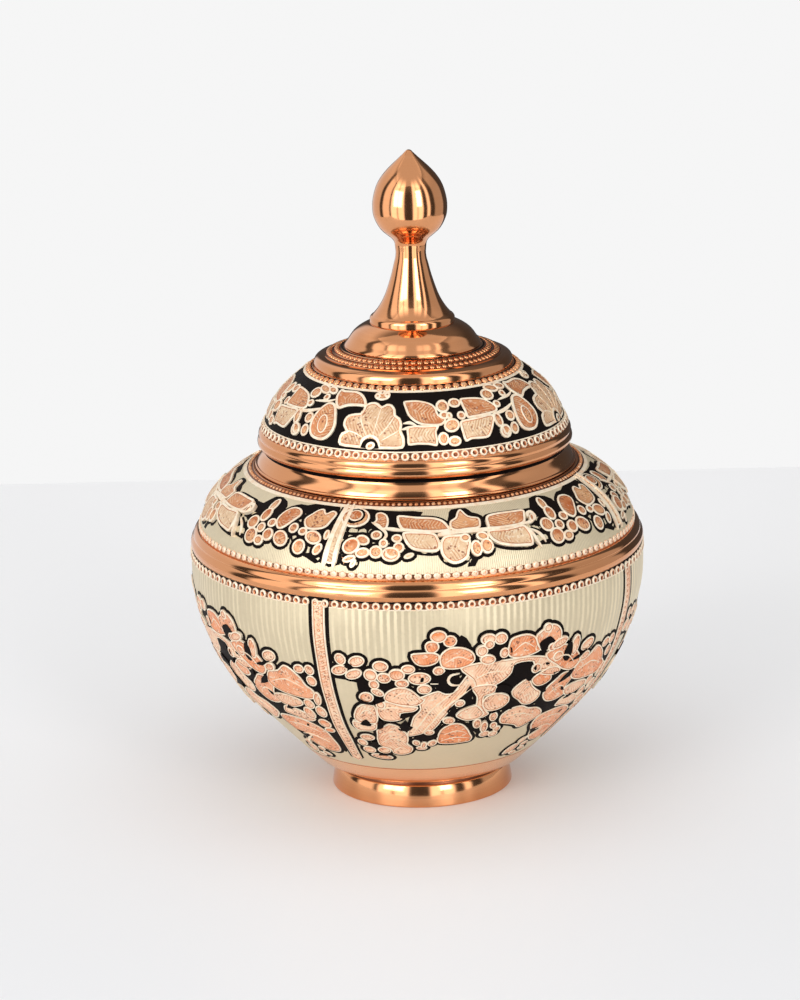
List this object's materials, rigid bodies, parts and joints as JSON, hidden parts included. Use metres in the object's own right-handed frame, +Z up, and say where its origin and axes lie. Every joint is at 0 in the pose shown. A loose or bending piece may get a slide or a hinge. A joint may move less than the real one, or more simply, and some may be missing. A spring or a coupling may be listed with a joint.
{
  "type": "lidded candy bowl",
  "caption": "Round footed metal bowl with a wide shoulder, a domed lift-off lid and a tall onion-shaped finial.",
  "frame": {"origin": "centre of the foot on the table", "axes": "+Z up along the axis of the bowl and the finial, -Y towards the front view"},
  "size_m": [0.1702, 0.1702, 0.2432],
  "materials": {
    "polished_copper": "spun copper, polished and lacquered",
    "chased_copper": "copper chased by hand, with black and cream grounds round the ornament, lacquered",
    "fastener_steel": "plain steel"
  },
  "bodies": {
    "box": {"foot_ring": "polished_copper", "bowl_shell": "chased_copper", "belt_band": "polished_copper", "shoulder_shell": "chased_copper", "neck_collar": "polished_copper"},
    "lid": {"lid_rim": "polished_copper", "lid_sleeve": "polished_copper", "lid_dome": "chased_copper", "crown_plate": "polished_copper", "finial_skirt": "polished_copper", "finial_stem": "polished_copper", "finial_bulb": "polished_copper", "finial_stud": "fastener_steel", "lid_washer": "fastener_steel", "lid_nut": "fastener_steel"}
  },
  "joints": [
    {"name": "lid_lift", "type": "slide", "parent": "box", "child": "lid", "axis": [0, 0, 1], "range_m": [0, 0.12]}
  ]
}
